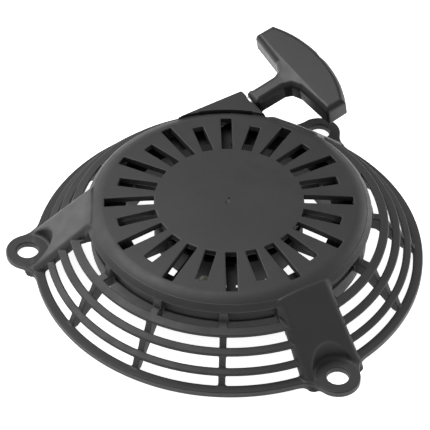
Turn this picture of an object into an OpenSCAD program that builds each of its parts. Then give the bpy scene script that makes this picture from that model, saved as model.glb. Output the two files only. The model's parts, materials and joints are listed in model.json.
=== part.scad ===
// Recoil starter for a small vertical-shaft engine: a moulded cover with a louvred skirt on
// three bolted lugs, with the rope reel, recoil spring, pawls and pull handle that it carries.
// Millimetres. Origin: the reel axis, on the plane that the lugs bolt down to. +Z is outward.

/* [Cover] */
// Height of the top disc's centre above the mounting plane
cover_h = 34; // [34:0.5:35]
// Wall thickness of the moulding
wall = 3; // [2.6:0.1:3.2]
// Pitch circle diameter of the three mounting holes
mount_pcd = 179; // [178:1:182]
// Radius of a mounting hole
mount_hole_r = 4.8; // [4:0.1:5]
// Width of a radial slot in the top disc
slot_w = 4.9; // [3.5:0.1:5.5]
// Width of the three arms
arm_w = 26; // [25:0.5:27]

/* [Rope] */
// Diameter of the pull rope
rope_d = 3.6; // [3.4:0.1:3.6]
// Plan direction of the pull, measured from +X
pull_az = 31.5; // [30:0.5:33]
// Rise of the pull above the reel's plane
pull_el = 12; // [11:0.5:12.5]

/* [Handle] */
// Length of the handle's grip bar
grip_len = 59; // [55:1:75]
// Thickness of the grip bar
grip_t = 12; // [11:0.5:14]
// Roll of the handle about the rope
grip_roll = 4.5; // [0:0.5:8]

/* [Recoil spring] */
// Number of coils in the spiral spring
spring_turns = 6; // [4:1:7]
// Thickness of the spring strip
spring_t = 0.6; // [0.4:0.1:0.8]

/* [Hidden] */
$fn = 64;

// Clearances: a running fit between turning surfaces, and a gap between parts that only pass
run = 0.06;
gap = 0.3;

// Cover: disc, shoulder and drum wall
dome_r = 59;            // where the shallow dome meets the shoulder
dome_drop = 2.4;        // fall of the dome from centre to dome_r
shoulder_r = 5;         // radius of the shoulder
drum_r = 64;            // outer radius of the drum wall
foot_r = 66.3;          // outer radius of the wall at its foot
foot_z = 22.6;          // top of the first louvre, at the foot of the wall
shoulder_z = cover_h - dome_drop - shoulder_r;
drum_in = drum_r - wall;
guard_r = [58.2, 61.2];  // inner wall that hangs from the disc round the reel
guard_z = [11.2, 29.8];

// Louvre rings, each [inner radius, outer radius, top at inner edge, top at outer edge]
LOUVRES = [[foot_r - wall, 70.7, 22.6, 21.1], [72.4, 76.2, 16.0, 15.3], [77.9, 81.3, 9.5, 8.6]];
louvre_t = 1.8;
rim_in = 82.6;
rim_out = 87;
rim_h = 3.1;
STRUTS = [33.3, 60, 86.7];   // azimuths of the radial webs, from an arm
strut_w = 3;

// Lugs and arms
ARMS = [60, 180, 300];
lug_r = 9.8;
lug_h = 3.3;
lug_blend = 12;
mount_r = mount_pcd / 2;
pocket_r = 11.2;
ramp_top = [60.5, 31.0];
ramp_foot = [87.3, lug_h];
skirt = 6.6;            // depth of an arm's side walls below its face, straight down
ramp_slope = (ramp_top[1] - ramp_foot[1]) / (ramp_foot[0] - ramp_top[0]);
function ramp_z(r) = ramp_foot[1] + (ramp_foot[0] - r) * ramp_slope;
function dome_z(r) = cover_h - dome_drop * pow(r / dome_r, 2);

// Slots in the top disc
slot_in = 33;
slot_long = 54.8;
slot_short = 50.2;
slot_count = 24;

// Windows in the drum wall, each [start azimuth, end azimuth]
window_in = 60.4;
window_top = 26.9;
WINDOWS = [[108.5, 118.3], [121.7, 145], [148.4, 167.5],
           [192.5, 211.6], [215, 238.3], [241.7, 265], [268.4, 287.5],
           [312.5, 331.6], [335, 358.3], [1.7, 25], [28.4, 47.5]];

// Centre post and reel hub
post_r = 8.5;
post_z = 7;
insert_r = 4.5;
insert_top = 20;
shank_r = 2.9;
hub_r = 11.5;
cup_r = 33;
cup_wall = 2;
reel_floor = [12.8, 15];
cup_top = 26;
spoke_in = cup_r - 0.5;
spoke_w = 4;
spoke_z = [20, 24.8];
spoke_count = 12;

// Rope groove: two layers of rope, three turns side by side in the inner one
rim_wall_in = 45.9;
rim_wall_out = 47.4;
flange_r = 55.5;
flange_t = 1.6;
wrap_pitch = rope_d + 0.05;
wrap_z = 17.4;          // height of the middle column of turns
wrap_r1 = rim_wall_out + rope_d / 2 + 0.05;
wrap_r2 = wrap_r1 + wrap_pitch;
groove_half = 1.5 * wrap_pitch + 0.35;
groove_z = [wrap_z - groove_half, wrap_z + groove_half];
WRAPS = [[wrap_r1, -1], [wrap_r1, 0], [wrap_r1, 1], [wrap_r2, -1], [wrap_r2, 0]];

// Rope outlet: s runs along the pull in plan, from the point where the rope leaves the reel
outlet_s = 46.5;
outlet_z = wrap_z + outlet_s * tan(pull_el);
nose_wall = 60;         // outer face of the nose, from the reel axis
nose_top = 31.3;
nose_bot = 14.6;
nose_end_t = 4;
eyelet_r = 3.2;
eyelet_bore = 2.3;
eyelet_flange = 4.6;

// Pawls and guide
pawl_pivot_r = 21;
pawl_post_r = 3;
pawl_z = [7.6, 11.2];
pawl_len = 17;
pawl_rest = -100;       // direction of a pawl at rest, from its own pivot radius
pawl_swing = 35;
pawl_pin_at = 7;
pawl_pin_r = 1.4;
guide_turn = 25;
guide_z = [4.3, 6.8];
guide_hub_r = 16;
guide_lobe_r = 28;
shoulder_screw_r = 5;
clip_leg_r = 12.2;      // radius of the friction clip's leg

// Guide slots and the friction clip
pin_clear = 0.5;        // clearance of a guide slot round its pin
clip_wire_r = 0.65;
clip_z = 8;             // height of the clip's ring

// Rings that stiffen the disc from below, round the spring's housing
STIFFENERS = [18, 27];
stiffener_t = 1.8;

// Knots
reel_knot_az = 253;
reel_knot_r = 4;
handle_knot_r = 3.8;

// Handle, in the pull's own axes: x runs from the outlet along the rope
grip_x0 = gap;          // end of the stem, off the outlet
stem_len = 19;
stem_half = 4.3;        // half width of the stem
stem_tip = 2;           // length of the stem's tapered end
stem_t = 10.6;          // thickness of the stem where it meets the bar
bar_in = 22.5;          // inner edge of the bar at its ends
bar_end = 33;           // outer edge of the bar at its ends
crown_x = 40.5;         // outer edge of the bar at its middle
grip_bore = 2.1;
knot_pocket_x = 27;
knot_pocket_r = 4.2;
lead_start = 16 - outlet_s / cos(pull_el);

// Points of an arc about c, from angle a0 to a1
function arc(c, r, a0, a1, n = 8) =
    [for (i = [0:n]) c + r * [cos(a0 + (a1 - a0) * i / n), sin(a0 + (a1 - a0) * i / n)]];

// Moves a child from the pull's own axes, +X along the rope, to its place on the outlet
module at_outlet() {
    rotate([0, 0, pull_az])
        translate([outlet_s, wrap_r2, outlet_z])
            rotate([0, -pull_el, 0]) children();
}

// ---- Cover -------------------------------------------------------------------------------

// Skin of the disc, shoulder and drum wall, with the three louvre rings and the rim
module cover_skin() {
    outer = concat([for (r = [0:10:50]) [r, dome_z(r)]],
                   arc([dome_r, shoulder_z], shoulder_r, 90, 0),
                   [[foot_r, foot_z]]);
    inner = concat([[foot_r - wall, foot_z - louvre_t]],
                   arc([dome_r - 1, shoulder_z - 0.5], shoulder_r - wall + 1, 0, 90, 4),
                   [for (r = [50:-10:0]) [r, dome_z(r) - wall]]);
    rotate_extrude($fn = 128) polygon(concat(outer, [[foot_r, foot_z - louvre_t]], inner));
    for (l = LOUVRES)
        rotate_extrude($fn = 128)
            polygon([[l[0], l[2]], [l[1], l[3]], [l[1], l[3] - louvre_t], [l[0], l[2] - louvre_t]]);
    rotate_extrude($fn = 128)
        polygon([[rim_in, 0], [rim_in, rim_h], [rim_out - 1, rim_h - 0.6],
                 [rim_out, rim_h - 1.5], [rim_out, 0]]);
}

// Radial web under the louvres, from the inner wall to the rim
module strut() {
    top = [[guard_r[1] - 1, foot_z - 1], [70.6, 20], [72.6, 15], [76.1, 14.2], [78.1, 8.5],
           [81.2, 7.7], [rim_in + 1, 2.5]];
    foot = [[rim_in + 1, 0.2], [80, 1.5], [foot_r - 1, 15.5], [guard_r[1] - 1, 17]];
    rotate([90, 0, 0]) linear_extrude(strut_w, center = true) polygon(concat(top, foot));
}

// Outline of the mounting flange: the rim's circle run smoothly out into the three lugs
module flange_outline() {
    offset(-lug_blend, $fn = 48) offset(lug_blend, $fn = 48) {
        circle(rim_out, $fn = 128);
        for (a = ARMS) rotate(a) translate([mount_r, 0]) circle(lug_r, $fn = 48);
    }
}

// Solid wedge of one arm, from the disc down to its lug; grow moves every face inward
module arm_wedge(grow = 0) {
    drop = grow * sqrt(1 + ramp_slope * ramp_slope);
    shape = grow == 0
        ? [[54, dome_z(54) - 1], [58, dome_z(58)], ramp_top, ramp_foot, [ramp_foot[0], 0], [54, 0]]
        : [[drum_r, -1], [drum_r, ramp_z(drum_r) - drop],
           [mount_r - pocket_r, ramp_z(mount_r - pocket_r) - drop], [mount_r - pocket_r, -1]];
    rotate([90, 0, 0]) linear_extrude(arm_w - 2 * grow, center = true) polygon(shape);
}

// Arm shell with shallow side walls and the round pocket that clears the bolt's head
module arm() {
    under = ramp_z(ramp_top[0]) - skirt;
    under_foot = ramp_foot[0] - (skirt - 1 - lug_h) / ramp_slope;
    difference() {
        arm_wedge();
        arm_wedge(wall);
        rotate([90, 0, 0]) linear_extrude(2 * arm_w, center = true)
            polygon([[50, -1], [50, under], [ramp_top[0], under], [under_foot, -1]]);
        translate([0, 0, -1]) cylinder(r = drum_in, h = cover_h - wall - dome_drop - 1, $fn = 128);
        translate([mount_r, 0, lug_h]) cylinder(r = pocket_r, h = cover_h);
    }
}

// Round pocket wall that closes the hollow arm towards the bolt
module pocket_wall() {
    intersection() {
        arm_wedge();
        difference() {
            translate([mount_r, 0, 0]) cylinder(r = pocket_r + 2, h = cover_h);
            translate([mount_r, 0, lug_h]) cylinder(r = pocket_r, h = cover_h);
        }
    }
}

// Rope outlet nose, standing off the drum along the pull
module nose() {
    rotate([0, 0, pull_az]) difference() {
        translate([8, 40, nose_bot]) cube([60, nose_wall - 40, nose_top - nose_bot]);
        translate([outlet_s, wrap_r2, outlet_z]) rotate([0, -pull_el, 0])
            translate([0, -50, -50]) cube(100);
        translate([0, 0, -1]) cylinder(r = drum_in, h = cover_h - wall, $fn = 128);
        translate([0, 0, nose_top - 6]) cylinder(r = dome_r + 0.5, h = 10, $fn = 128);
    }
}

// Space for the rope between the reel and the end wall of the nose
module rope_channel() {
    rotate([0, 0, pull_az])
        translate([12, 46, nose_bot + 2]) cube([outlet_s - nose_end_t - 12, 11.4, 12.6]);
}

module slots() {
    for (i = [0:slot_count - 1])
        rotate([0, 0, i * 360 / slot_count])
            translate([slot_in, -slot_w / 2, cover_h - 10])
                cube([(i % 2 == 0 ? slot_long : slot_short) - slot_in, slot_w, 20]);
}

// Openings between the inner wall and the first louvre
module windows() {
    bottom = foot_z - louvre_t - 1;
    for (w = WINDOWS)
        rotate([0, 0, w[0]])
            rotate_extrude(angle = w[1] - w[0], $fn = 128)
                translate([window_in, bottom])
                    square([foot_r + 0.4 - window_in, window_top - bottom]);
}

// Inner wall round the reel, which the windows stop in
module guard() {
    translate([0, 0, guard_z[0]]) difference() {
        cylinder(r = guard_r[1], h = guard_z[1] - guard_z[0], $fn = 128);
        translate([0, 0, -1]) cylinder(r = guard_r[0], h = guard_z[1], $fn = 128);
    }
}

module starter_case() {
    color([0.075, 0.075, 0.078]) difference() {
        union() {
            difference() {
                cover_skin();
                for (a = ARMS) rotate([0, 0, a])
                    translate([drum_r + 1, -arm_w / 2 + 1, -1]) cube([40, arm_w - 2, 40]);
            }
            for (a = ARMS) {
                rotate([0, 0, a]) { arm(); pocket_wall(); }
                for (s = STRUTS) rotate([0, 0, a + s]) strut();
            }
            linear_extrude(lug_h) difference() {
                flange_outline();
                circle(rim_in, $fn = 128);
            }
            for (a = ARMS) rotate([0, 0, a]) translate([mount_r - pocket_r - 2, -arm_w / 2, 0])
                cube([pocket_r, arm_w, lug_h]);
            nose();
            guard();
            translate([0, 0, post_z]) cylinder(r = post_r, h = cover_h - wall - post_z + 1);
            for (r = STIFFENERS) translate([0, 0, cup_top + 0.5]) difference() {
                cylinder(r = r, h = cover_h - wall - cup_top);
                translate([0, 0, -1]) cylinder(r = r - stiffener_t, h = cover_h);
            }
        }
        slots();
        windows();
        rope_channel();
        for (a = ARMS) rotate([0, 0, a]) translate([mount_r, 0, -1])
            cylinder(r = mount_hole_r, h = lug_h + 2);
        translate([0, 0, post_z - 1]) cylinder(r = insert_r, h = insert_top - post_z + 1);
        at_outlet() {
            rotate([0, 90, 0]) translate([0, 0, -9]) cylinder(r = eyelet_r, h = 10);
            rotate([0, 90, 0]) translate([0, 0, -1]) cylinder(r = eyelet_flange + 0.1, h = 4);
        }
    }
}

// Threaded brass insert moulded into the centre post
module post_insert() {
    color([0.72, 0.58, 0.3]) translate([0, 0, post_z]) difference() {
        cylinder(r = insert_r, h = insert_top - post_z);
        translate([0, 0, -1]) cylinder(r = shank_r + run, h = insert_top - post_z - 1);
    }
}

// Flanged steel eyelet that the rope runs through
module rope_eyelet() {
    color([0.62, 0.62, 0.64]) at_outlet() rotate([0, 90, 0]) difference() {
        union() {
            translate([0, 0, -6]) cylinder(r = eyelet_r, h = 5.5);
            translate([0, 0, -1]) cylinder(r = eyelet_flange, h = 0.8);
        }
        translate([0, 0, -8]) cylinder(r = eyelet_bore, h = 10);
    }
}

// ---- Reel --------------------------------------------------------------------------------

module at_pawl(i) {
    rotate([0, 0, 180 * i]) translate([pawl_pivot_r, 0, 0]) children();
}

module reel() {
    rim_h_total = groove_z[1] - groove_z[0] + 2 * flange_t;
    color([0.1, 0.1, 0.105]) difference() {
        union() {
            translate([0, 0, 9.6]) cylinder(r = hub_r, h = cup_top - 9.6);
            translate([0, 0, reel_floor[0]]) cylinder(r = cup_r, h = reel_floor[1] - reel_floor[0]);
            translate([0, 0, reel_floor[0]]) difference() {
                cylinder(r = cup_r, h = cup_top - reel_floor[0]);
                translate([0, 0, -1]) cylinder(r = cup_r - cup_wall, h = cup_top);
            }
            for (i = [0:spoke_count - 1]) rotate([0, 0, i * 360 / spoke_count])
                translate([spoke_in, -spoke_w / 2, spoke_z[0]])
                    cube([rim_wall_in + 0.5 - spoke_in, spoke_w, spoke_z[1] - spoke_z[0]]);
            translate([0, 0, groove_z[0] - flange_t]) difference() {
                cylinder(r = rim_wall_out, h = rim_h_total, $fn = 128);
                translate([0, 0, -1]) cylinder(r = rim_wall_in, h = rim_h_total + 2, $fn = 128);
            }
            for (z = [groove_z[0] - flange_t, groove_z[1]]) translate([0, 0, z]) difference() {
                cylinder(r = flange_r, h = flange_t, $fn = 128);
                translate([0, 0, -1]) cylinder(r = rim_wall_in, h = flange_t + 2, $fn = 128);
            }
            knot_seat();
            for (i = [0, 1]) at_pawl(i) translate([0, 0, pawl_z[0] - 0.2])
                cylinder(r = pawl_post_r, h = reel_floor[0] - pawl_z[0] + 1);
        }
        translate([0, 0, 5]) cylinder(r = post_r + run, h = 30);
        knot_bore();
    }
}

// Web between two spokes that the rope's inner end is knotted against
module knot_seat() {
    rotate([0, 0, 240]) rotate_extrude(angle = 30, $fn = 128)
        translate([38, 14]) square([8, 2]);
}

// Hole that takes the rope from the groove through the rim wall to its knot
module knot_bore() {
    rotate([0, 0, reel_knot_az]) translate([40, 0, 18])
        rotate([0, 90, 0]) cylinder(r = rope_d / 2 + 0.2, h = 12);
}

// One closed spiral strip with a hook at each end
module recoil_spring() {
    r0 = hub_r + 1;
    r1 = cup_r - cup_wall - 1;
    steps = 24;
    n = spring_turns * steps;
    function rr(i) = r0 + (r1 - r0) * i / n;
    function pt(i, off) = (rr(i) + off) * [cos(i * 360 / steps), sin(i * 360 / steps)];
    color([0.45, 0.47, 0.5]) translate([0, 0, reel_floor[1] + gap])
        linear_extrude(cup_top - reel_floor[1] - 2)
            polygon(concat([for (i = [0:n]) pt(i, 0)], [for (i = [n:-1:0]) pt(i, spring_t)]));
}

// Turns of rope wound in the groove
module rope_coil() {
    color([0.62, 0.6, 0.53]) for (w = WRAPS)
        rotate_extrude($fn = 96)
            translate([w[0], wrap_z + w[1] * wrap_pitch]) circle(rope_d / 2, $fn = 24);
}

// Knot at the rope's inner end, with the short run through the rim wall
module reel_knot() {
    color([0.62, 0.6, 0.53]) rotate([0, 0, reel_knot_az]) {
        translate([41, 0, 20.2]) sphere(reel_knot_r, $fn = 32);
        translate([41, 0, 18]) rotate([0, 90, 0]) cylinder(r = rope_d / 2, h = 6, $fn = 32);
    }
}

// ---- Ratchet -----------------------------------------------------------------------------

// One pawl, at its pivot, folded in; the drive pin under it runs in the guide's slot
module pawl_shape() {
    rotate([0, 0, pawl_rest]) difference() {
        union() {
            translate([0, 0, pawl_z[0]]) cylinder(r = 5, h = pawl_z[1] - pawl_z[0]);
            translate([0, 0, pawl_z[0]]) linear_extrude(pawl_z[1] - pawl_z[0])
                polygon([[0, -4.9], [pawl_len - 5, -2], [pawl_len, -0.5], [pawl_len, 3],
                         [pawl_len - 6, 3.6], [0, 4.9]]);
            translate([pawl_pin_at, 0, guide_z[0] + 0.2])
                cylinder(r = pawl_pin_r, h = pawl_z[0] - guide_z[0]);
        }
        translate([0, 0, 0]) cylinder(r = pawl_post_r + run, h = 20);
    }
}
module pawl_1() { color([0.5, 0.5, 0.52]) at_pawl(0) pawl_shape(); }
module pawl_2() { color([0.5, 0.5, 0.52]) at_pawl(1) pawl_shape(); }

// Coil of two wire turns round the pawl's post, with a bent leg out to the pawl's edge
module pawl_spring_shape() {
    wire_r = 0.35;
    ring_r = pawl_post_r + 0.6;
    for (z = [pawl_z[1] + 0.45, pawl_z[1] + 1.15]) translate([0, 0, z])
        rotate_extrude($fn = 48) translate([ring_r, 0]) circle(wire_r, $fn = 16);
    rotate([0, 0, pawl_rest + 60]) translate([ring_r, 0, pawl_z[1] + 0.45])
        rotate([0, 90, 0]) cylinder(r = wire_r - 0.05, h = 5, $fn = 16);
}
module pawl_spring_1() { color([0.6, 0.6, 0.62]) at_pawl(0) pawl_spring_shape(); }
module pawl_spring_2() { color([0.6, 0.6, 0.62]) at_pawl(1) pawl_spring_shape(); }

// Where a pawl's drive pin is, in the guide's axes, when the guide has turned by t of its travel
function pin_at(t) = let(
    a = pawl_rest + pawl_swing * t,
    p = [pawl_pivot_r + pawl_pin_at * cos(a), pawl_pin_at * sin(a)],
    g = -guide_turn * t)
    [p[0] * cos(g) - p[1] * sin(g), p[0] * sin(g) + p[1] * cos(g)];

// Cam plate that swings the pawls out when friction holds it back
module ratchet_guide() {
    h = guide_z[1] - guide_z[0];
    color([0.13, 0.13, 0.14]) translate([0, 0, guide_z[0]]) difference() {
        union() {
            cylinder(r = guide_hub_r, h = h);
            for (i = [0, 1]) rotate([0, 0, 180 * i - 52])
                rotate_extrude(angle = 46, $fn = 96) translate([10, 0]) square([guide_lobe_r - 10, h]);
        }
        translate([0, 0, -1]) cylinder(r = shoulder_screw_r + run, h = h + 2);
        for (i = [0, 1], k = [0:12]) rotate([0, 0, 180 * i])
            translate(concat(pin_at(k / 12), [-1])) cylinder(r = pawl_pin_r + pin_clear, h = h + 2);
        translate([0, clip_leg_r, -1]) cylinder(r = clip_wire_r + 0.2, h = h + 2, $fn = 24);
    }
}

// Wire clip that grips the post, with a leg down into the guide
module friction_spring() {
    ring_r = post_r + clip_wire_r + 0.05;
    color([0.6, 0.6, 0.62]) {
        translate([0, 0, clip_z]) rotate([0, 0, 84])
            rotate_extrude(angle = 320, $fn = 64) translate([ring_r, 0]) circle(clip_wire_r, $fn = 16);
        translate([0, ring_r, clip_z]) rotate([-90, 0, 0])
            cylinder(r = clip_wire_r - 0.05, h = clip_leg_r - ring_r, $fn = 24);
        translate([0, clip_leg_r, guide_z[0] + 0.6])
            cylinder(r = clip_wire_r + 0.05, h = clip_z - guide_z[0], $fn = 24);
    }
}

// Washer between the guide and the screw's head
module screw_washer() {
    color([0.6, 0.6, 0.62]) translate([0, 0, 3.4]) difference() {
        cylinder(r = 9, h = 0.6);
        translate([0, 0, -1]) cylinder(r = shoulder_screw_r + run, h = 3);
    }
}

// Shouldered set screw with a hexagon socket
module centre_screw() {
    color([0.55, 0.55, 0.56]) difference() {
        union() {
            translate([0, 0, 0.8]) cylinder(r = 7.4, h = 2.55);
            translate([0, 0, 0.8]) cylinder(r = shoulder_screw_r, h = post_z - 0.8 - 0.05);
            translate([0, 0, 3]) cylinder(r = shank_r, h = 15);
        }
        translate([0, 0, 0]) cylinder(r = 3, h = 4.2, $fn = 6);
    }
}

// ---- Handle ------------------------------------------------------------------------------

// Outline of the grip seen along its thickness
module grip_outline() {
    half = grip_len / 2;
    rise = crown_x - bar_end;
    crown_r = (half * half + rise * rise) / (2 * rise);
    sweep = asin(half / crown_r);
    polygon(concat(
        [[grip_x0, -3.5], [grip_x0 + stem_tip, -stem_half], [stem_len - 3, -stem_half],
         [stem_len, -stem_half - 1.4], [bar_in - 1.4, -10], [bar_in, -half + 1], [bar_in + 1, -half]],
        arc([crown_x - crown_r, 0], crown_r, -sweep, sweep, 16),
        [[bar_in + 1, half], [bar_in, half - 1], [bar_in - 1.4, 10],
         [stem_len, stem_half + 1.4], [stem_len - 3, stem_half], [grip_x0 + stem_tip, stem_half],
         [grip_x0, 3.5]]));
}

// Thickness of the grip along the pull: thin at the stem, full at the bar
module grip_side() {
    t = grip_t / 2;
    side = [[grip_x0, 4.3], [grip_x0 + stem_tip, stem_t / 2 - 0.2], [stem_len - 1, stem_t / 2],
            [bar_in + 2, t], [crown_x - 3, t - 0.4], [crown_x + 1, 4.7]];
    polygon(concat([for (p = side) [p[0], -p[1]]], [for (i = [len(side) - 1:-1:0]) side[i]]));
}

module handle_grip() {
    color([0.075, 0.075, 0.078]) at_outlet() rotate([grip_roll, 0, 0]) difference() {
        intersection() {
            translate([0, 0, -20]) linear_extrude(40) grip_outline();
            rotate([90, 0, 0]) linear_extrude(100, center = true) grip_side();
        }
        rotate([0, 90, 0]) translate([0, 0, -1]) cylinder(r = grip_bore, h = 40);
        translate([knot_pocket_x, 0, 0]) rotate([0, 90, 0]) cylinder(r = knot_pocket_r, h = 30);
    }
}

// Steel washer that the handle's knot pulls against
module grip_reinforcement() {
    color([0.6, 0.6, 0.62]) at_outlet() translate([knot_pocket_x + 0.02, 0, 0]) rotate([0, 90, 0])
        difference() {
            cylinder(r = knot_pocket_r - 0.15, h = 1.2);
            translate([0, 0, -1]) cylinder(r = grip_bore, h = 4);
        }
}

// Straight run of rope from the reel, through the eyelet and the stem, to the knot
module rope_lead() {
    color([0.62, 0.6, 0.53]) at_outlet() translate([lead_start, 0, 0]) rotate([0, 90, 0])
        cylinder(r = rope_d / 2, h = knot_pocket_x + 2 - lead_start, $fn = 32);
}

// Knot at the rope's outer end, in the grip's pocket
module handle_knot() {
    color([0.62, 0.6, 0.53]) at_outlet() difference() {
        translate([knot_pocket_x + 1.4 + handle_knot_r, 0, 0]) sphere(handle_knot_r, $fn = 32);
        translate([knot_pocket_x - 2, -10, -10]) cube([4, 20, 20]);
    }
}

starter_case();
post_insert();
rope_eyelet();
reel();
recoil_spring();
rope_coil();
reel_knot();
pawl_1();
pawl_2();
pawl_spring_1();
pawl_spring_2();
ratchet_guide();
friction_spring();
screw_washer();
centre_screw();
handle_grip();
grip_reinforcement();
rope_lead();
handle_knot();
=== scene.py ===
import json
import math

import bmesh
import bpy
import numpy as np
from mathutils import Matrix, Vector

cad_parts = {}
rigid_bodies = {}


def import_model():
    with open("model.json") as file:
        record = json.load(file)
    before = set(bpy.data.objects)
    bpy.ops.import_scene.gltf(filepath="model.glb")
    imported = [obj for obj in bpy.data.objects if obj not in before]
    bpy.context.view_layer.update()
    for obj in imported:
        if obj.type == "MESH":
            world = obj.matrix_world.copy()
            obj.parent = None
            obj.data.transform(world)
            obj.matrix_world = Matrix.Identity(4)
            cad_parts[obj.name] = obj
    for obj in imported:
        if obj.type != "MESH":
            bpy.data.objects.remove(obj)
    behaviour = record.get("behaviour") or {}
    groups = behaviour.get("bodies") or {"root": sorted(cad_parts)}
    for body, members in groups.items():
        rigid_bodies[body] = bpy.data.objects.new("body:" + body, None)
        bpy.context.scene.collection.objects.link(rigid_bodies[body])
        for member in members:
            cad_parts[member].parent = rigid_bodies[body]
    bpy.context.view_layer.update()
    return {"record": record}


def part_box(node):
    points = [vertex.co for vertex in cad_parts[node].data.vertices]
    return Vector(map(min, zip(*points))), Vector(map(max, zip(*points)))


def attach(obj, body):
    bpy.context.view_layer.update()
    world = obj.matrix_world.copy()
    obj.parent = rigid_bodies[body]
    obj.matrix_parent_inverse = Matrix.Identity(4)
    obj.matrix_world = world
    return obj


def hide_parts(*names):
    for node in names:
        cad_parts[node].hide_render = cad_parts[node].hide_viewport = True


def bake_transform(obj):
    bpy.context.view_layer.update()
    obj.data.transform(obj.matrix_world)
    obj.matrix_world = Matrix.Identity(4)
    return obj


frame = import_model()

MM = 0.001


# ---- Sizes, in millimetres, in the CAD frame ---------------------------------------------

COVER_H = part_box("starter_case")[1].z / MM      # height of the disc's centre
WALL = 3.0
DOME_R, DOME_DROP = 59.0, 2.4
DRUM_R, DRUM_IN = 64.0, 61.0
SHOULDER_R = 5.0
GUARD_IN, GUARD_R, GUARD_Z = 58.2, 61.2, (11.2, 29.8)   # inner wall round the reel
FOOT_R, FOOT_Z = 66.3, 22.6
LOUVRES = ((63.3, 70.7, 22.6, 21.1), (72.4, 76.2, 16.0, 15.3), (77.9, 81.3, 9.5, 8.6))
LOUVRE_T = 1.8
RIM_IN, RIM_OUT = 82.6, 87.0
LUG_PITCH_R = frame["record"]["mounts"][0]["dims"]["pcd_mm"] / 2
LUG_HOLE_R = frame["record"]["mounts"][0]["dims"]["hole_r_mm"]
LUG_R, LUG_H, LUG_BLEND = 9.8, 3.3, 12.0
ARM_ANGLE = 60.0                                # first arm; the others follow every 120 degrees
ARM_TOP, ARM_FOOT = (60.5, 31.0), (87.3, 3.3)   # ends of the sloping face, radius and height
ARM_HALF, ARM_DRAFT = 12.7, 0.05                # half width at the top, and slope of the sides
POCKET_R, POCKET_DRAFT, POCKET_WALL = 10.3, 0.13, 2.2
ARM_DEPTH = 4.6                                 # depth of an arm's side walls, square to its face
STRUT_ANGLES = (33.3, 60.0)                     # webs either side of an arm
STRUT_W = 3.0
SLOT_IN, SLOT_LONG, SLOT_SHORT, SLOT_W = 33.0, 54.8, 50.2, 4.9
SLOT_STEP, SLOT_DEPTH = 15.0, 10.0
WINDOW_IN, WINDOW_TOP = 60.4, 26.9
WINDOWS = ((12.5, 31.6), (35.0, 58.3))          # spans, from the arm before them
POST_R, POST_Z, INSERT_R, INSERT_TOP = 8.5, 7.0, 4.5, 20.0
STIFFENERS, STIFFENER_T = (18.0, 27.0), 1.8
CUP_TOP = 26.0                                  # top of the spring's cup in the reel
GATE_AT, GATE_DEPTH, GATE_SPREAD = (-0.8, -2.6), 0.55, 0.8

ROPE_R = 1.8
WRAP_Z, WRAP_PITCH, WRAP_R1 = 17.4, 3.65, 49.25
WRAP_R2 = WRAP_R1 + WRAP_PITCH

pull = next(j for j in frame["record"]["behaviour"]["joints"] if j["name"] == "handle_pull")
PULL_DIR = Vector(pull["axis"]).normalized()
PULL_AZ = math.atan2(PULL_DIR.y, PULL_DIR.x)
PULL_EL = math.asin(PULL_DIR.z)
OUTLET_S = 46.5                                 # along the pull, from where the rope leaves the reel
OUTLET_Z = WRAP_Z + OUTLET_S * math.tan(PULL_EL)
NOSE_WALL, NOSE_TOP, NOSE_BOT = 60.0, 31.3, 14.6
NOSE_START, NOSE_IN = 8.0, 40.0                 # where the block begins, along and across the pull
NOSE_AZ, NOSE_SPAN = 77.5, 31.0                 # middle and half width of the drum's unpierced stretch
CHANNEL = ((27.0, 15.5), (51.7, 5.7), (NOSE_BOT + 8.3, 6.3))   # middle and half size: s, n, z
SEAM_R, SEAM_HALF, SEAM_BOT, SEAM_REACH = 61.2, 0.45, 27.5, 12.5
EYELET_R, EYELET_FLANGE = 3.2, 4.6
GRIP_ROLL = math.radians(4.5)

# Places in the pull's own axes, +X along the rope from the outlet, as matrices in metres
OUTLET = (Matrix.Rotation(PULL_AZ, 4, "Z")
          @ Matrix.Translation(Vector((OUTLET_S, WRAP_R2, OUTLET_Z)) * MM)
          @ Matrix.Rotation(-PULL_EL, 4, "Y"))


# ---- Signed distances --------------------------------------------------------------------

def length(*parts):
    return np.sqrt(sum(p * p for p in parts))


def blend_union(a, b, k):
    """Union with a fillet of about k."""
    h = np.maximum(k - np.abs(a - b), 0) / k
    return np.minimum(a, b) - h * h * k / 4


def blend_cut(a, b, k):
    """a without b, with the edge between them rounded over about k."""
    return -blend_union(-a, b, k)


def meet(a, b, r):
    """Intersection with its convex edge rounded to radius r."""
    u, v = a + r, b + r
    return np.minimum(np.maximum(u, v), 0) + length(np.maximum(u, 0), np.maximum(v, 0)) - r


def slab(u, middle, half):
    return np.abs(u - middle) - half


def rounded_box(u, v, half_u, half_v, r):
    return meet(np.abs(u) - half_u, np.abs(v) - half_v, r)


def polygon_distance(u, v, points):
    """Signed distance to a closed outline, negative inside."""
    best, inside = None, False
    for (u0, v0), (u1, v1) in zip(points, points[1:] + points[:1]):
        eu, ev = u1 - u0, v1 - v0
        t = np.clip(((u - u0) * eu + (v - v0) * ev) / (eu * eu + ev * ev), 0, 1)
        d = (u - u0 - t * eu) ** 2 + (v - v0 - t * ev) ** 2
        best = d if best is None else np.minimum(best, d)
        crosses = (v >= v0) != (v >= v1)
        if ev:
            side = u - u0 < (v - v0) * eu / ev
            inside = inside ^ (crosses & side)
    return np.where(inside, -1, 1) * np.sqrt(best)


# ---- Meshing a signed distance -----------------------------------------------------------

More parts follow.
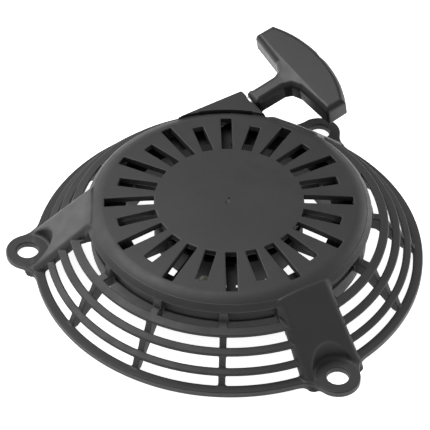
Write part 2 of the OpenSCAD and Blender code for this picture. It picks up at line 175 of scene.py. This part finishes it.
def net_faces(values, wrap):
    """Naive surface net of a grid of distances: cell vertices in grid units, and quads.
    With wrap, the first axis is closed on itself."""
    size = values.shape
    cells = tuple(n - 1 if not (wrap and axis == 0) else n for axis, n in enumerate(size))
    ids, offsets, quads = [], [], []
    for axis in range(3):
        ahead = np.roll(values, -1, axis)
        cross = (values < 0) != (ahead < 0)
        if not (wrap and axis == 0):
            cross[(slice(None),) * axis + (-1,)] = False
        at = np.argwhere(cross)
        a, b = values[cross], ahead[cross]
        point = at.astype(float)
        point[:, axis] += a / (a - b)
        u, v = [k for k in range(3) if k != axis]
        ring, good = [], np.ones(len(at), bool)
        for du, dv in ((0, 0), (-1, 0), (-1, -1), (0, -1)):
            cell = at.copy()
            cell[:, u] += du
            cell[:, v] += dv
            offset = point - cell
            if wrap:
                cell[:, 0] %= cells[0]
            good &= np.all((cell >= 0) & (cell < cells), axis=1)
            ring.append((cell, offset))
        ring = [(np.ravel_multi_index(cell[good].T, cells), offset[good]) for cell, offset in ring]
        for cell, offset in ring:
            ids.append(cell)
            offsets.append(offset)
        quad = np.stack([cell for cell, _ in ring], 1)
        flip = (a[good] < 0) == (axis == 1)
        quad[flip] = quad[flip][:, ::-1]
        quads.append(quad)
    ids, offsets, quads = np.concatenate(ids), np.concatenate(offsets), np.concatenate(quads)
    used, index = np.unique(ids, return_inverse=True)
    count = np.bincount(index)
    middle = np.stack([np.bincount(index, offsets[:, k]) for k in range(3)], 1) / count[:, None]
    corner = np.stack(np.unravel_index(used, cells), 1)
    return corner + middle, np.searchsorted(used, quads)


def settle(distance, points, limit):
    """Moves points onto the surface where distance is 0, and gives the surface's normals there."""
    step = 0.02

    def gradient(p):
        sides = [distance(*(p + step * axis).T) - distance(*(p - step * axis).T) for axis in np.eye(3)]
        g = np.stack(sides, 1) / (2 * step)
        return g / np.maximum(np.linalg.norm(g, axis=1, keepdims=True), 0.3)

    start = points.copy()
    for _ in range(3):
        move = -distance(*points.T)[:, None] * gradient(points)
        shift = points + move - start
        far = np.maximum(np.linalg.norm(shift, axis=1, keepdims=True) / limit, 1)
        points = start + shift / far
    return points, gradient(points)


def mesh_object(name, points, quads):
    """A smooth mesh object from millimetre points."""
    mesh = bpy.data.meshes.new(name)
    mesh.vertices.add(len(points))
    mesh.vertices.foreach_set("co", (points * MM).astype(np.float32).ravel())
    quads = np.asarray(quads)
    mesh.loops.add(quads.size)
    mesh.loops.foreach_set("vertex_index", quads.astype(np.int32).ravel())
    mesh.polygons.add(len(quads))
    sides = quads.shape[1]
    mesh.polygons.foreach_set("loop_start", np.arange(0, quads.size, sides, dtype=np.int32))
    mesh.update(calc_edges=True)
    mesh.validate()
    mesh.shade_smooth()
    ob = bpy.data.objects.new(name, mesh)
    bpy.context.collection.objects.link(ob)
    return ob


def weld(ob):
    """Joins the points that meet on the axis."""
    bm = bmesh.new()
    bm.from_mesh(ob.data)
    bmesh.ops.remove_doubles(bm, verts=bm.verts, dist=1e-6)
    bm.to_mesh(ob.data)
    bm.free()
    ob.data.shade_smooth()


def exact_normals(ob, distance):
    """Shades a mesh with the normals of the distance that it was made from."""
    points = np.empty(len(ob.data.vertices) * 3, np.float32)
    ob.data.vertices.foreach_get("co", points)
    _, normals = settle(distance, points.reshape(-1, 3).astype(float) / MM, 0.01)
    ob.data.normals_split_custom_set_from_vertices(normals.tolist())


def stations(*runs):
    """Grid lines from runs of (end, spacing), the first run starting at its own pair."""
    start = runs[0]
    lines = [start]
    for end, spacing in runs[1:]:
        count = max(1, round((end - lines[-1]) / (spacing * 1)))
        lines += list(np.linspace(lines[-1], end, count + 1)[1:])
    return np.array(lines)


# ---- Cover -------------------------------------------------------------------------------

def skin_distance(r, z):
    """Disc, soft shoulder and drum wall down to the first louvre."""
    dome = z - (COVER_H - DOME_DROP * (r / DOME_R) ** 2)
    lean = math.atan2(FOOT_R - DRUM_R, 4.0)
    upper = r - DRUM_R
    lower = (r - FOOT_R) * math.cos(lean) + (z - FOOT_Z) * math.sin(lean)
    wall = -blend_union(-upper, -lower, 2.0)
    outer = meet(dome, wall, SHOULDER_R)
    return meet(np.maximum(outer, -outer - WALL), FOOT_Z - LOUVRE_T - z, 0.4)


def louvre_distance(r, z):
    """The three sloping rings."""
    best = None
    for r0, r1, z0, z1 in LOUVRES:
        slope = math.atan2(z1 - z0, r1 - r0)
        rc, zc = (r0 + r1) / 2, (z0 + z1) / 2 - LOUVRE_T / 2
        u = (r - rc) * math.cos(slope) + (z - zc) * math.sin(slope)
        v = -(r - rc) * math.sin(slope) + (z - zc) * math.cos(slope)
        d = rounded_box(u, v, (r1 - r0) / 2 / math.cos(slope), LOUVRE_T / 2, 0.55)
        best = d if best is None else np.minimum(best, d)
    return best


def flange_distance(r, along, across, z):
    """Rim and lugs: a circle run out into each lug by a concave fillet."""
    lug = length(along - LUG_PITCH_R, across)
    near, far = RIM_OUT + LUG_BLEND, LUG_R + LUG_BLEND
    cx = (near ** 2 - far ** 2 + LUG_PITCH_R ** 2) / (2 * LUG_PITCH_R)
    cy = math.sqrt(near ** 2 - cx ** 2)
    fillet = LUG_BLEND - length(along - cx, across - cy)
    between = (across * cx < along * cy) & ((cx - LUG_PITCH_R) * across > cy * (along - LUG_PITCH_R))
    outline = np.where(between, fillet, np.minimum(r - RIM_OUT, lug - LUG_R))
    ring = meet(outline, RIM_IN - r, 0.5)
    return meet(ring, slab(z, LUG_H / 2, LUG_H / 2), 0.6)


def arm_distances(along, across, z):
    """Outer body of an arm, with drafted sides and soft edges, and its bolt pocket."""
    run, fall = ARM_FOOT[0] - ARM_TOP[0], ARM_TOP[1] - ARM_FOOT[1]
    tilt = math.atan2(fall, run)
    slope = (along - ARM_TOP[0]) * math.sin(tilt) + (z - ARM_TOP[1]) * math.cos(tilt)
    side = (across - ARM_HALF - (ARM_TOP[1] - z) * ARM_DRAFT) * 0.9988
    dome = z - (COVER_H - DOME_DROP * (along ** 2 + across ** 2) / DOME_R ** 2)
    top = -blend_union(-slope, -dome, 4.0)
    body = -blend_union(-top, -side, 3.2)
    bolt = length(along - LUG_PITCH_R, across)
    pocket = (bolt - POCKET_R - (z - LUG_H) * POCKET_DRAFT) * 0.99
    return slope, side, body, pocket


def web_distance(r, z):
    """Outline of a web, from the inner wall to the rim under the rings."""
    top = ((GUARD_R - 1, FOOT_Z - 1.2), (70.4, 20.0), (72.8, 15.0), (76.1, 14.2), (78.3, 8.6),
           (81.2, 7.7), (RIM_IN + 1, 2.5))
    bottom = ((RIM_IN + 1, 0.2), (80.0, 1.5), (FOOT_R - 1, 15.5), (GUARD_R - 1, 17.0))
    return polygon_distance(r, z, list(top + bottom))


def nose_distance(r, s, n, end, z):
    """Block that the rope leaves by, outside the drum and under the disc's edge."""
    tall = slab(z, (NOSE_TOP + NOSE_BOT) / 2, (NOSE_TOP - NOSE_BOT) / 2)
    side = meet(n - NOSE_WALL, np.maximum(end, NOSE_START - s), 0.8)
    block = np.maximum(meet(side, tall, 0.6), np.maximum(DRUM_IN - r, NOSE_IN - n))
    return np.maximum(block, -np.maximum(r - DOME_R - 1.5, NOSE_TOP - 6 - z))


def slot_distance(r, angle, z):
    """Radial slots in the disc, long and short in turn."""
    step = np.round(angle / SLOT_STEP)
    turn = np.radians(angle - step * SLOT_STEP)
    reach = np.where(np.mod(step, 2) == 0, SLOT_LONG, SLOT_SHORT)
    u, v = r * np.cos(turn), r * np.sin(turn)
    slot = meet(np.maximum(SLOT_IN - u, u - reach), np.abs(v) - SLOT_W / 2, 0.3)
    return np.maximum(slot, COVER_H - SLOT_DEPTH - z)


def window_distance(r, angle, third, z, span):
    """One window beside each arm, down past the first louvre's inner edge, except at the nose."""
    nose_side = r * np.radians(np.abs(angle - NOSE_AZ) - NOSE_SPAN)
    bottom = FOOT_Z - LOUVRE_T - 1
    high = slab(z, (bottom + WINDOW_TOP) / 2, (WINDOW_TOP - bottom) / 2)
    deep = slab(r, (WINDOW_IN + FOOT_R + 0.4) / 2, (FOOT_R + 0.4 - WINDOW_IN) / 2)
    wide = r * np.radians(np.abs(third - (span[0] + span[1]) / 2) - (span[1] - span[0]) / 2)
    return np.maximum(meet(np.maximum(wide, -nose_side), high, 0.35), deep)


def cover_distance(x, y, z):
    """The whole moulded cover."""
    r = length(x, y)
    angle = np.degrees(np.arctan2(y, x))
    third = np.mod(angle - ARM_ANGLE + 60, 120) - 60
    along = r * np.cos(np.radians(third))
    across = np.abs(r * np.sin(np.radians(third)))
    third = np.abs(third)

    # Arms: hollow bodies that run softly into the drum and break the rings
    slope, side, body, pocket = arm_distances(along, across, z)
    reach = meet(body, DRUM_IN - 0.5 - along, 0.3)
    hollow = np.maximum(body + WALL, np.maximum(DRUM_R - r, -(pocket - POCKET_WALL)))
    under = np.maximum(slope + ARM_DEPTH, -(pocket - POCKET_WALL))
    arm = np.maximum(np.maximum(reach, -hollow), np.maximum(-under, -z))
    shape = blend_union(skin_distance(r, z), arm, 1.4)
    inside = np.maximum(DRUM_R + 1.5 - along, side + 1.0)
    shape = blend_union(shape, np.maximum(louvre_distance(r, z), -inside), 0.35)

    # Inner wall, the webs from it under the rings, and the flange
    guard = meet(slab(r, (GUARD_IN + GUARD_R) / 2, (GUARD_R - GUARD_IN) / 2),
                 np.maximum(GUARD_Z[0] - z, z - GUARD_Z[1]), 0.4)
    shape = np.minimum(shape, guard)
    web = web_distance(r, z)
    for a in STRUT_ANGLES:
        off = np.abs(r * np.sin(np.radians(third - a)))
        shape = blend_union(shape, meet(web, off - STRUT_W / 2, 0.3), 0.35)
    shape = blend_union(shape, flange_distance(r, along, across, z), 0.8)

    # Pocket over each bolt, with a fillet at its foot
    shape = blend_cut(shape, meet(pocket, LUG_H - z, 1.4), 0.7)

    # Nose: s runs along the pull in plan, n across it, and end is past the outlet's face
    s = x * math.cos(PULL_AZ) + y * math.sin(PULL_AZ)
    n = -x * math.sin(PULL_AZ) + y * math.cos(PULL_AZ)
    end = (s - OUTLET_S) * math.cos(PULL_EL) + (z - OUTLET_Z) * math.sin(PULL_EL)
    shape = np.minimum(shape, nose_distance(r, s, n, end, z))

    # Centre post and the two stiffening rings under the disc
    post = meet(r - POST_R, np.maximum(POST_Z - z, z - COVER_H + 1.5), 0.5)
    shape = np.minimum(shape, post)
    for ring_r in STIFFENERS:
        rib = meet(slab(r, ring_r - STIFFENER_T / 2, STIFFENER_T / 2),
                   np.maximum(CUP_TOP + 0.5 - z, z - COVER_H + 1.5), 0.4)
        shape = blend_union(shape, rib, 0.6)

    # Slots, windows and the groove at the drum's foot
    shape = blend_cut(shape, slot_distance(r, angle, z), 0.45)
    for span in WINDOWS:
        shape = blend_cut(shape, window_distance(r, angle, third, z, span), 0.4)
    groove = length(r - FOOT_R - 0.15, z - FOOT_Z - 0.1) - 0.33
    shape = np.maximum(shape, -groove)

    # Rope channel, bolt holes, the insert's hole and the eyelet's stepped bore
    channel = rounded_box(s - CHANNEL[0][0], n - CHANNEL[1][0], CHANNEL[0][1], CHANNEL[1][1], 0.5)
    channel = meet(channel, slab(z, *CHANNEL[2]), 0.5)
    shape = np.maximum(shape, -channel)
    hole = meet(length(along - LUG_PITCH_R, across) - LUG_HOLE_R, np.abs(z) - 8, 0.2)
    shape = blend_cut(shape, hole, 0.6)
    insert = slab(z, (POST_Z + INSERT_TOP) / 2 - 1, (INSERT_TOP - POST_Z) / 2 + 1)
    shape = np.maximum(shape, -np.maximum(r - INSERT_R, insert))
    rise = -(s - OUTLET_S) * math.sin(PULL_EL) + (z - OUTLET_Z) * math.cos(PULL_EL)
    bore = length(n - WRAP_R2, rise)
    shape = np.maximum(shape, -np.maximum(bore - EYELET_R, np.abs(end + 4) - 5))
    shape = np.maximum(shape, -np.maximum(bore - EYELET_FLANGE - 0.1, np.abs(end - 1) - 2))

    # Seam between the nose's top and the disc's edge, the mark of the mould's gate, and the flat foot
    beside = np.maximum(SEAM_BOT - z, np.abs(angle - 90) * r / 57.3 - SEAM_REACH)
    shape = np.maximum(shape, -np.maximum(slab(r, SEAM_R, SEAM_HALF), beside))
    near = (x - GATE_AT[0]) ** 2 + (y - GATE_AT[1]) ** 2
    gate = GATE_DEPTH * np.exp(-near / GATE_SPREAD)
    return np.maximum(shape, np.maximum(z - COVER_H - 0.05 + gate, -z))


def make_cover():
    """Meshes the cover on a polar grid that is finest where the cover has detail."""
    radii = stations(0.0, (4.5, 0.4), (7.0, 1.2), (10.0, 0.6), (15.5, 1.4), (28.0, 0.8), (32.0, 1.2),
                     (56.5, 0.55), (90.0, 0.45), (100.2, 0.55))
    heights = stations(-0.8, (COVER_H + 0.8, 0.45))
    turns = 800
    angles = np.arange(turns) * 2 * math.pi / turns
    blocks = []
    for part in np.array_split(angles, 40):
        x = radii[None, :, None] * np.cos(part)[:, None, None]
        y = radii[None, :, None] * np.sin(part)[:, None, None]
        blocks.append(cover_distance(x, y, heights[None, None, :]) + 0 * x)
    values = np.concatenate(blocks)
    places, quads = net_faces(values, wrap=True)
    a = places[:, 0] * 2 * math.pi / turns
    r = np.interp(places[:, 1], np.arange(len(radii)), radii)
    z = np.interp(places[:, 2], np.arange(len(heights)), heights)
    r[places[:, 1] < 1] = 0
    points = np.stack([r * np.cos(a), r * np.sin(a), z], 1)
    points, _ = settle(cover_distance, points, 0.35)
    cover = mesh_object("moulded_cover", points, quads[:, ::-1])
    weld(cover)
    exact_normals(cover, cover_distance)
    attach(cover, "root")
    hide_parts("starter_case")
    return cover


# ---- Handle ------------------------------------------------------------------------------

GRIP_PLACE = OUTLET @ Matrix.Rotation(GRIP_ROLL, 4, "X")
GRIP_X0, STEM_TIP, STEM_LEN, STEM_HALF = 0.3, 2.0, 19.0, 4.3
BAR_HALF, BAR_IN, BAR_END, CROWN_X = 29.5, 22.5, 33.0, 40.5
GRIP_BORE, KNOT_X, KNOT_POCKET_R, KNOT_R = 2.1, 27.0, 4.2, 3.8


def arc(centre, radius, start, end, count):
    return [(centre + radius * math.cos(start + (end - start) * i / count),
             radius * math.sin(start + (end - start) * i / count)) for i in range(count + 1)]


def grip_distance(x, y, z):
    """T handle: a bar with a crowned outer edge on a tapering stem, bevelled all round."""
    rise = CROWN_X - BAR_END
    crown_r = (BAR_HALF ** 2 + rise ** 2) / (2 * rise)
    sweep = math.asin(BAR_HALF / crown_r)
    half = [(GRIP_X0, 3.5), (GRIP_X0 + STEM_TIP, STEM_HALF), (STEM_LEN - 3, STEM_HALF),
            (STEM_LEN, STEM_HALF + 1.4), (BAR_IN - 1.4, 10.0), (BAR_IN, BAR_HALF - 1),
            (BAR_IN + 1, BAR_HALF)]
    crown = arc(CROWN_X - crown_r, crown_r, sweep, -sweep, 16)
    outline = polygon_distance(x, y, half + crown + [(px, -py) for px, py in half[::-1]])
    side = [(GRIP_X0, 4.3), (GRIP_X0 + STEM_TIP, 5.1), (STEM_LEN - 1, 5.3), (BAR_IN + 2, 6.0),
            (CROWN_X - 3, 5.6), (CROWN_X + 3, 4.3)]
    profile = polygon_distance(x, z, side + [(px, -pz) for px, pz in side[::-1]])
    bevel = (outline + profile + np.clip(x / 4, 0.3, 1) * 1.8) * math.sqrt(0.5)
    body = -blend_union(-np.maximum(outline, profile), -bevel, 0.8)
    bore = length(y, z)
    body = blend_cut(body, meet(bore - GRIP_BORE, -2 - x, 0.1), 0.6)
    return blend_cut(body, meet(bore - KNOT_POCKET_R, KNOT_X - x, 0.3), 0.7)


def make_grip():
    """Meshes the grip on an even grid in the pull's own axes."""
    spacing = 0.36
    axes = [np.arange(lo, hi, spacing) for lo, hi in ((-0.9, 42.4), (-31.0, 31.0), (-7.3, 7.3))]
    values = grip_distance(axes[0][:, None, None], axes[1][None, :, None], axes[2][None, None, :])
    places, quads = net_faces(values, wrap=False)
    points = np.stack([axes[k][0] + places[:, k] * spacing for k in range(3)], 1)
    points, _ = settle(grip_distance, points, 0.3)
    grip = mesh_object("moulded_grip", points, quads)
    exact_normals(grip, grip_distance)
    grip.matrix_world = GRIP_PLACE
    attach(grip, "handle")
    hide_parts("handle_grip")
    return grip


# ---- Rope --------------------------------------------------------------------------------

def braided_tube(name, path, radius, lay=7.0):
    """A closed-ended braided rope along a path of millimetre points, spaced evenly."""
    path = np.asarray(path, float)
    ahead = np.gradient(path, axis=0)
    ahead /= np.linalg.norm(ahead, axis=1, keepdims=True)
    side = np.cross(ahead[0], (0.0, 0.0, 1.0) if abs(ahead[0, 2]) < 0.9 else (1.0, 0.0, 0.0))
    frames = []
    for t in ahead:
        side = side - t * side.dot(t)
        side /= np.linalg.norm(side)
        frames.append(side)
    side = np.array(frames)
    up = np.cross(ahead, side)
    run = np.concatenate([[0], np.cumsum(np.linalg.norm(np.diff(path, axis=0), axis=1))])
    around = 32
    turn = np.arange(around) * 2 * math.pi / around
    phase = 2 * math.pi * run[:, None] / lay
    strands = np.cos(4 * turn + 4 * phase) * np.cos(4 * turn - 4 * phase)
    swell = radius * (0.955 + 0.045 * strands)
    ends = np.minimum(run, run[-1] - run)[:, None] / radius
    swell = swell * np.sqrt(np.clip(1 - (1 - np.clip(ends, 0, 1)) ** 2, 0.02, 1))
    points = (path[:, None] + swell[..., None] * (np.cos(turn)[:, None] * side[:, None]
                                                  + np.sin(turn)[:, None] * up[:, None]))
    count = len(path)
    i, j = np.meshgrid(np.arange(count - 1), np.arange(around), indexing="ij")
    k = (j + 1) % around
    quads = np.stack([i * around + j, i * around + k, (i + 1) * around + k, (i + 1) * around + j], -1)
    return mesh_object(name, points.reshape(-1, 3), quads.reshape(-1, 4))


def even(path, step):
    """The same path with its points evenly spaced."""
    path = np.asarray(path, float)
    run = np.concatenate([[0], np.cumsum(np.linalg.norm(np.diff(path, axis=0), axis=1))])
    at = np.linspace(0, run[-1], max(2, round(run[-1] / step) + 1))
    return np.stack([np.interp(at, run, path[:, k]) for k in range(3)], 1)


def ease(t):
    t = np.clip(t, 0, 1)
    return t * t * (3 - 2 * t)


REEL_KNOT_AZ, REEL_KNOT_PLACE, REEL_KNOT_R = 253.0, (41.0, 0.0, 20.2), 4.0
LEAVE_AZ = math.degrees(PULL_AZ) + 90           # where the rope leaves the reel


def make_coil():
    """The wound rope, clockwise from its knot: three turns in the groove and two over them.
    Each change of turn or layer takes 30 degrees."""
    sweep = REEL_KNOT_AZ - LEAVE_AZ + 360 * 4
    turned = np.arange(0, sweep, 1.0)
    az = np.radians(REEL_KNOT_AZ - turned)
    column = WRAP_Z + WRAP_PITCH * (1 - ease((turned - 330) / 30) - ease((turned - 690) / 30)
                                    + ease((turned - 1330) / 30))
    radius = WRAP_R1 - 5.0 * (1 - ease(turned / 12)) + WRAP_PITCH * ease((turned - 1050) / 30)
    column = column - 3.0 * (1 - ease(turned / 18))
    path = np.stack([radius * np.cos(az), radius * np.sin(az), column], 1)
    coil = braided_tube("braided_coil", even(path, 0.45), ROPE_R)
    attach(coil, "reel")
    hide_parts("rope_coil")
    return coil


def knot_path(size, thick):
    """A trefoil, the shape of an overhand knot pulled tight."""
    t = np.linspace(0, 2 * math.pi, 200)
    ring = np.stack([np.sin(t) + 2 * np.sin(2 * t), np.cos(t) - 2 * np.cos(2 * t), -1.5 * np.sin(3 * t)], 1)
    return ring / 3 * (size - thick)


def make_knot(name, body, replaced, place, size):
    """A knot of about that radius, put in place of the CAD's ball."""
    thick = 0.42 * size
    knot = braided_tube(name, even(knot_path(size, thick), 0.3), thick)
    knot.matrix_world = place
    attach(knot, body)
    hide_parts(replaced)
    return knot


def make_lead():
    """Rope from the reel through the eyelet and the stem, baked into world space and not attached to any
    body.
    """
    start, end = -OUTLET_S / math.cos(PULL_EL) + 16, KNOT_X + 3
    path = np.stack([np.linspace(start, end, 300), np.zeros(300), np.zeros(300)], 1)
    lead = braided_tube("braided_lead", even(path, 0.3), ROPE_R)
    lead.matrix_world = OUTLET
    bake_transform(lead)
    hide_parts("rope_lead")
    return lead


# ---- Materials ---------------------------------------------------------------------------

class Surface:
    """A principled material in object space, built up from noise."""

    def __init__(self, name):
        self.mat = bpy.data.materials.new(name)
        self.mat.use_nodes = True
        self.nodes, self.links = self.mat.node_tree.nodes, self.mat.node_tree.links
        self.shader = self.nodes["Principled BSDF"]
        self.coords = self.nodes.new("ShaderNodeTexCoord").outputs["Object"]

    def stretched(self, scale):
        mapping = self.nodes.new("ShaderNodeMapping")
        mapping.inputs["Scale"].default_value = scale
        self.links.new(self.coords, mapping.inputs["Vector"])
        return mapping.outputs["Vector"]

    def noise(self, scale, detail=3.0, roughness=0.5, vector=None):
        tex = self.nodes.new("ShaderNodeTexNoise")
        tex.inputs["Scale"].default_value = scale
        tex.inputs["Detail"].default_value = detail
        tex.inputs["Roughness"].default_value = roughness
        self.links.new(vector or self.coords, tex.inputs["Vector"])
        return tex.outputs["Fac"]

    def ramp(self, source, low, high, start=0.3, stop=0.7):
        mapped = self.nodes.new("ShaderNodeMapRange")
        for key, value in (("From Min", start), ("From Max", stop), ("To Min", low), ("To Max", high)):
            mapped.inputs[key].default_value = value
        self.links.new(source, mapped.inputs["Value"])
        return mapped.outputs["Result"]

    def times(self, a, b):
        both = self.nodes.new("ShaderNodeMath")
        both.operation = "MULTIPLY"
        self.links.new(a, both.inputs[0])
        self.links.new(b, both.inputs[1])
        return both.outputs[0]

    def colour(self, tone, shade, other=None, mask=None):
        """Base colour: tone scaled by shade, giving way to other where mask is 1."""
        scaled = self.nodes.new("ShaderNodeVectorMath")
        scaled.operation = "SCALE"
        scaled.inputs[0].default_value = tone
        self.links.new(shade, scaled.inputs["Scale"])
        out = scaled.outputs[0]
        if other:
            mix = self.nodes.new("ShaderNodeMix")
            mix.data_type = "RGBA"
            mix.inputs["B"].default_value = (*other, 1)
            self.links.new(mask, mix.inputs["Factor"])
            self.links.new(out, mix.inputs["A"])
            out = mix.outputs["Result"]
        self.links.new(out, self.shader.inputs["Base Color"])

    def finish(self, rough, bump, strength, depth, specular=0.5, metallic=0.0):
        self.links.new(rough, self.shader.inputs["Roughness"])
        node = self.nodes.new("ShaderNodeBump")
        node.inputs["Strength"].default_value = strength
        node.inputs["Distance"].default_value = depth * MM
        self.links.new(bump, node.inputs["Height"])
        self.links.new(node.outputs["Normal"], self.shader.inputs["Normal"])
        self.shader.inputs["Specular IOR Level"].default_value = specular
        self.shader.inputs["Metallic"].default_value = metallic
        return self.mat


def moulded_plastic(name, tone, rubbed, rough=0.5):
    """Matte moulded plastic: spark-eroded grain, faint flow marks and rubbed patches."""
    s = Surface(name)
    flow = s.ramp(s.noise(38), 0.9, 1.1)
    specks = s.ramp(s.noise(1500, 2), 0.93, 1.07)
    patches = s.ramp(s.noise(30, 2), 0.0, 1.0, 0.5, 0.75)
    rub = s.times(patches, s.ramp(s.noise(700, 5, 0.7), 0.0, 0.6, 0.56, 0.8))
    s.colour(tone, s.times(flow, specks), rubbed, rub)
    return s.finish(s.ramp(s.noise(160, 4), rough - 0.05, rough + 0.06), s.noise(1700, 3, 0.6),
                    0.35, 0.08, specular=0.42)


def plated_steel(name, tone, rough, dark=(0.08, 0.07, 0.06)):
    """Metal with drawn streaks, cloudy plating and a little oil and dirt."""
    s = Surface(name)
    cloud = s.ramp(s.noise(90, 4), 0.82, 1.08)
    streak = s.ramp(s.noise(900, 2, vector=s.stretched((1, 1, 0.08))), 0.93, 1.05)
    s.colour(tone, s.times(cloud, streak), dark, s.ramp(s.noise(150, 6, 0.7), 0.0, 0.5, 0.58, 0.75))
    return s.finish(s.ramp(s.noise(260, 4), rough - 0.08, rough + 0.12),
                    s.noise(1400, 3, 0.6, s.stretched((1, 1, 0.1))), 0.3, 0.03, metallic=1.0)


def braided_nylon(name, tone):
    """Rope yarn: fine fibres, uneven dye and grime."""
    s = Surface(name)
    yarn = s.ramp(s.noise(2600, 3, 0.6), 0.78, 1.1)
    grime = s.ramp(s.noise(70, 4), 0.72, 1.08)
    spots = s.ramp(s.noise(300, 5, 0.7), 0.0, 0.5, 0.6, 0.78)
    s.colour(tone, s.times(yarn, grime), (0.16, 0.14, 0.11), spots)
    s.shader.inputs["Sheen Weight"].default_value = 0.25
    return s.finish(s.ramp(s.noise(500, 3), 0.72, 0.92), s.noise(3000, 4, 0.7), 0.6, 0.15, specular=0.3)


def dress(ob, mat):
    """Gives an object that one material."""
    ob.data.materials.clear()
    ob.data.materials.append(mat)


# ---- Studio ------------------------------------------------------------------------------

def make_camera():
    """A long lens at the photograph's angle."""
    cam = bpy.data.cameras.new("camera")
    cam.lens, cam.sensor_width = 206.0, 36.0
    ob = bpy.data.objects.new("camera", cam)
    bpy.context.collection.objects.link(ob)
    aim = Vector((-5.87, 7.01, 17.0)) * MM
    azimuth, elevation, roll = map(math.radians, (-1.636, 43.92, 0.687))
    distance = 1095.7 * MM
    back = Vector((math.sin(azimuth) * math.cos(elevation), -math.cos(azimuth) * math.cos(elevation),
                   math.sin(elevation)))
    ob.location = aim + back * distance
    ob.rotation_mode = "QUATERNION"
    look = (-back).to_track_quat("-Z", "Y")
    ob.rotation_quaternion = look @ Matrix.Rotation(roll, 3, "Z").to_quaternion()
    cam.clip_start, cam.clip_end = 0.05, 20
    bpy.context.scene.camera = ob


def make_lamp(name, place, size, power, aim=(0, 0, 0.02)):
    lamp = bpy.data.lights.new(name, "AREA")
    lamp.shape, lamp.size, lamp.energy = "SQUARE", size, power
    ob = bpy.data.objects.new(name, lamp)
    bpy.context.collection.objects.link(ob)
    ob.location = place
    ob.rotation_mode = "QUATERNION"
    ob.rotation_quaternion = (Vector(aim) - Vector(place)).to_track_quat("-Z", "Y")


def make_floor():
    """A pale floor with a faint mottle, lit from within so that it stays white."""
    bpy.ops.mesh.primitive_plane_add(size=12, location=(0, 0, 0))
    floor = bpy.context.object
    floor.name = "studio_floor"
    s = Surface("studio_floor")
    s.colour((0.92, 0.92, 0.92), s.ramp(s.noise(6, 4), 0.97, 1.03))
    s.shader.inputs["Emission Color"].default_value = (1, 1, 1, 1)
    s.shader.inputs["Emission Strength"].default_value = 0.9
    dress(floor, s.finish(s.ramp(s.noise(40), 0.85, 0.95), s.noise(300), 0.1, 0.05, specular=0.2))


def make_world():
    world = bpy.data.worlds.new("studio")
    world.use_nodes = True
    world.node_tree.nodes["Background"].inputs["Color"].default_value = (1, 1, 1, 1)
    world.node_tree.nodes["Background"].inputs["Strength"].default_value = 0.38
    bpy.context.scene.world = world


MATERIALS = {
    "cover_plastic": moulded_plastic("cover_plastic", (0.023, 0.023, 0.0235), (0.055, 0.055, 0.055)),
    "grip_plastic": moulded_plastic("grip_plastic", (0.014, 0.014, 0.0145), (0.045, 0.045, 0.045), 0.38),
    "reel_plastic": moulded_plastic("reel_plastic", (0.009, 0.009, 0.0095), (0.03, 0.03, 0.03), 0.6),
    "spring_steel": plated_steel("spring_steel", (0.2, 0.215, 0.25), 0.34),
    "zinc_steel": plated_steel("zinc_steel", (0.6, 0.6, 0.61), 0.36),
    "brass": plated_steel("brass", (0.72, 0.55, 0.27), 0.3, (0.2, 0.13, 0.05)),
    "rope": braided_nylon("rope", (0.5, 0.48, 0.42)),
}

make_camera()
make_floor()
make_world()
make_lamp("key_softbox", (-0.7, 0.5, 1.6), 1.2, 26)
make_lamp("rim_softbox_left", (-1.5, 1.3, 0.6), 0.9, 10)
make_lamp("rim_softbox_right", (1.6, 1.0, 0.6), 0.9, 12)
bpy.context.scene.view_settings.view_transform = "Standard"

dress(make_cover(), MATERIALS["cover_plastic"])
dress(make_grip(), MATERIALS["grip_plastic"])
reel_knot_at = (Matrix.Rotation(math.radians(REEL_KNOT_AZ), 4, "Z")
                @ Matrix.Translation(Vector(REEL_KNOT_PLACE) * MM))
handle_knot_at = (OUTLET @ Matrix.Translation(Vector((KNOT_X + 1.4 + KNOT_R, 0, 0)) * MM)
                  @ Matrix.Rotation(math.pi / 2, 4, "Y"))
for rope in (make_coil(), make_lead(),
             make_knot("reel_end_knot", "reel", "reel_knot", reel_knot_at, REEL_KNOT_R),
             make_knot("handle_end_knot", "handle", "handle_knot", handle_knot_at, KNOT_R)):
    dress(rope, MATERIALS["rope"])
replaced = {"starter_case", "handle_grip", "rope_coil", "rope_lead", "reel_knot", "handle_knot"}
for part in frame["record"]["subparts"]:
    if part["node"] not in replaced:
        dress(bpy.data.objects[part["node"]], MATERIALS[part["material_slot"]])
